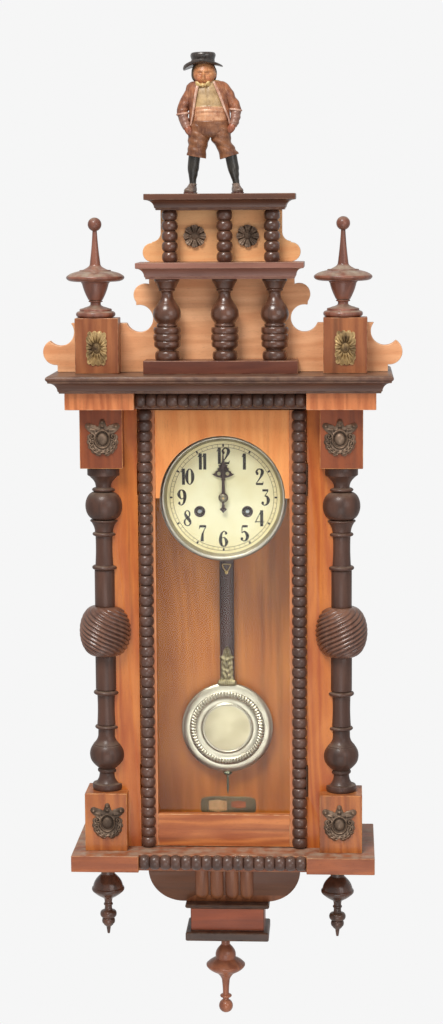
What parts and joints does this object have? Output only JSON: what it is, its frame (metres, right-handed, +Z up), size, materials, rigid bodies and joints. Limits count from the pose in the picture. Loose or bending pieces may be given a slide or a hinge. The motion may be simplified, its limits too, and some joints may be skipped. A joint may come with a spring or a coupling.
{
  "type": "wall regulator clock",
  "caption": "Tall wall clock in a glazed wooden case with a hinged door, turned columns, carved crest, round dial and swinging pendulum.",
  "frame": {"origin": "centre of the hanging hole in the hanger plate, on the plane of the wall", "axes": "+X to the viewer's right, +Y back into the wall, +Z up"},
  "size_m": [0.4686, 0.188, 1.3056],
  "materials": {
    "carcase_walnut": "shellac",
    "dark_walnut": "shellac",
    "crest_walnut": "shellac",
    "back_pine": "stained, matt",
    "pressed_metal": "bronzed",
    "steel": "satin",
    "iron": "black",
    "brass": "satin",
    "nickel": "worn plate",
    "bob_metal": "silvered and worn",
    "dial_paint": "matt cream",
    "blued_steel": "browned",
    "window_glass": "clear",
    "figure_paint": "painted and varnished",
    "scale_metal": "satin"
  },
  "bodies": {
    "case": {"back_board": "back_pine", "hanger_plate": "iron", "case_sides": "carcase_walnut", "side_glasses": "window_glass", "case_top_board": "carcase_walnut", "base_board": "carcase_walnut", "front_stiles": "carcase_walnut", "bead_mouldings": "dark_walnut", "frieze_blocks": "carcase_walnut", "cornice_moulding": "dark_walnut", "column_blocks": "carcase_walnut", "block_shields": "pressed_metal", "column_shafts": "dark_walnut", "spiral_knops": "dark_walnut", "console": "carcase_walnut", "drop_console": "dark_walnut", "drop_finials": "dark_walnut", "crest_board": "crest_walnut", "crest_blocks": "carcase_walnut", "crest_rosettes": "pressed_metal", "urn_finials": "dark_walnut", "crest_plinth": "dark_walnut", "crest_turnings": "dark_walnut", "crest_shelf": "dark_walnut", "crest_upper_board": "crest_walnut", "top_cornice": "dark_walnut", "carved_figure": "figure_paint", "beat_scale": "scale_metal", "hinge_case_leaves": "brass", "movement_bracket": "iron", "gong": "steel", "movement_plates": "brass", "suspension_cock": "brass", "dial": "dial_paint", "dial_bezel": "nickel"},
    "door": {"door_stiles": "carcase_walnut", "door_top_panel": "crest_walnut", "door_bottom_rail": "carcase_walnut", "door_glass": "window_glass", "door_beads": "dark_walnut", "hinge_door_leaves": "brass"},
    "minute_arbor": {"minute_hand": "blued_steel", "centre_wheel": "brass"},
    "hour_pipe": {"hour_hand": "blued_steel", "hour_wheel": "brass"},
    "motion_work": {"minute_wheel": "brass"},
    "second_arbor": {"second_wheel": "brass"},
    "time_drum": {"time_barrel": "brass"},
    "third_arbor": {"third_wheel": "brass"},
    "escape_arbor": {"escape_wheel": "brass"},
    "anchor": {"pallet_anchor": "steel"},
    "pendulum": {"pendulum_rod": "dark_walnut", "pendulum_bob": "bob_metal"},
    "rating": {"rating_nut": "brass"},
    "strike_drum": {"strike_barrel": "brass"},
    "pin_arbor": {"pin_wheel": "brass"},
    "fly_arbor": {"fly": "brass"},
    "hammer_arbor": {"hammer": "steel"},
    "time_key_arbor": {"time_winding_arbor": "steel"},
    "strike_key_arbor": {"strike_winding_arbor": "steel"}
  },
  "joints": [
    {"name": "door_swing", "type": "hinge", "parent": "case", "child": "door", "pos_m": [0.11, -0.124, -0.271], "axis": [0, 0, 1], "range_deg": [0, 100]},
    {"name": "minute_hand_turn", "type": "hinge", "parent": "case", "child": "minute_arbor", "pos_m": [0, -0.06, -0.097], "axis": [0, 1, 0], "continuous": true},
    {"name": "hour_hand_turn", "type": "hinge", "parent": "case", "child": "hour_pipe", "pos_m": [0, -0.06, -0.097], "axis": [0, 1, 0], "continuous": true},
    {"name": "motion_work_turn", "type": "hinge", "parent": "case", "child": "motion_work", "pos_m": [-0.00848, -0.06, -0.10548], "axis": [0, 1, 0], "continuous": true},
    {"name": "second_wheel_turn", "type": "hinge", "parent": "case", "child": "second_arbor", "pos_m": [0.00176, -0.06, -0.11672], "axis": [0, 1, 0], "continuous": true},
    {"name": "time_barrel_turn", "type": "hinge", "parent": "case", "child": "time_drum", "pos_m": [0.0315, -0.06, -0.1157], "axis": [0, 1, 0], "continuous": true},
    {"name": "third_wheel_turn", "type": "hinge", "parent": "case", "child": "third_arbor", "pos_m": [0.01341, -0.06, -0.08429], "axis": [0, 1, 0], "continuous": true},
    {"name": "escape_wheel_turn", "type": "hinge", "parent": "case", "child": "escape_arbor", "pos_m": [0, -0.06, -0.076], "axis": [0, 1, 0], "continuous": true},
    {"name": "pendulum_swing", "type": "hinge", "parent": "case", "child": "pendulum", "pos_m": [0, -0.0235, -0.058], "axis": [0, 1, 0], "range_deg": [-3, 3]},
    {"name": "anchor_swing", "type": "hinge", "parent": "case", "child": "anchor", "pos_m": [0, -0.06, -0.058], "axis": [0, 1, 0], "range_deg": [-3, 3]},
    {"name": "rating_nut_turn", "type": "hinge", "parent": "pendulum", "child": "rating", "pos_m": [0, -0.0235, -0.487], "axis": [0, 0, 1], "continuous": true},
    {"name": "strike_barrel_turn", "type": "hinge", "parent": "case", "child": "strike_drum", "pos_m": [-0.0315, -0.06, -0.1157], "axis": [0, 1, 0], "continuous": true},
    {"name": "pin_wheel_turn", "type": "hinge", "parent": "case", "child": "pin_arbor", "pos_m": [-0.02198, -0.06, -0.0875], "axis": [0, 1, 0], "continuous": true},
    {"name": "fly_turn", "type": "hinge", "parent": "case", "child": "fly_arbor", "pos_m": [-0.03053, -0.06, -0.07482], "axis": [0, 1, 0], "continuous": true},
    {"name": "hammer_lift", "type": "hinge", "parent": "case", "child": "hammer_arbor", "pos_m": [-0.045, -0.06, -0.087], "axis": [0, 1, 0], "range_deg": [0, 10]},
    {"name": "time_winding_turn", "type": "hinge", "parent": "case", "child": "time_key_arbor", "pos_m": [0.0315, -0.06, -0.1157], "axis": [0, 1, 0], "continuous": true},
    {"name": "strike_winding_turn", "type": "hinge", "parent": "case", "child": "strike_key_arbor", "pos_m": [-0.0315, -0.06, -0.1157], "axis": [0, 1, 0], "continuous": true}
  ],
  "couplings": [
    {"joint": "hour_hand_turn", "follows": "minute_hand_turn", "ratio": 0.083333},
    {"joint": "motion_work_turn", "follows": "minute_hand_turn", "ratio": -0.33333},
    {"joint": "second_wheel_turn", "follows": "minute_hand_turn", "ratio": -0.2},
    {"joint": "time_barrel_turn", "follows": "minute_hand_turn", "ratio": 0.028571},
    {"joint": "third_wheel_turn", "follows": "minute_hand_turn", "ratio": -10},
    {"joint": "escape_wheel_turn", "follows": "minute_hand_turn", "ratio": 93.75},
    {"joint": "anchor_swing", "follows": "pendulum_swing", "ratio": 1},
    {"joint": "pin_wheel_turn", "follows": "strike_barrel_turn", "ratio": -7},
    {"joint": "fly_turn", "follows": "strike_barrel_turn", "ratio": 52.5}
  ]
}
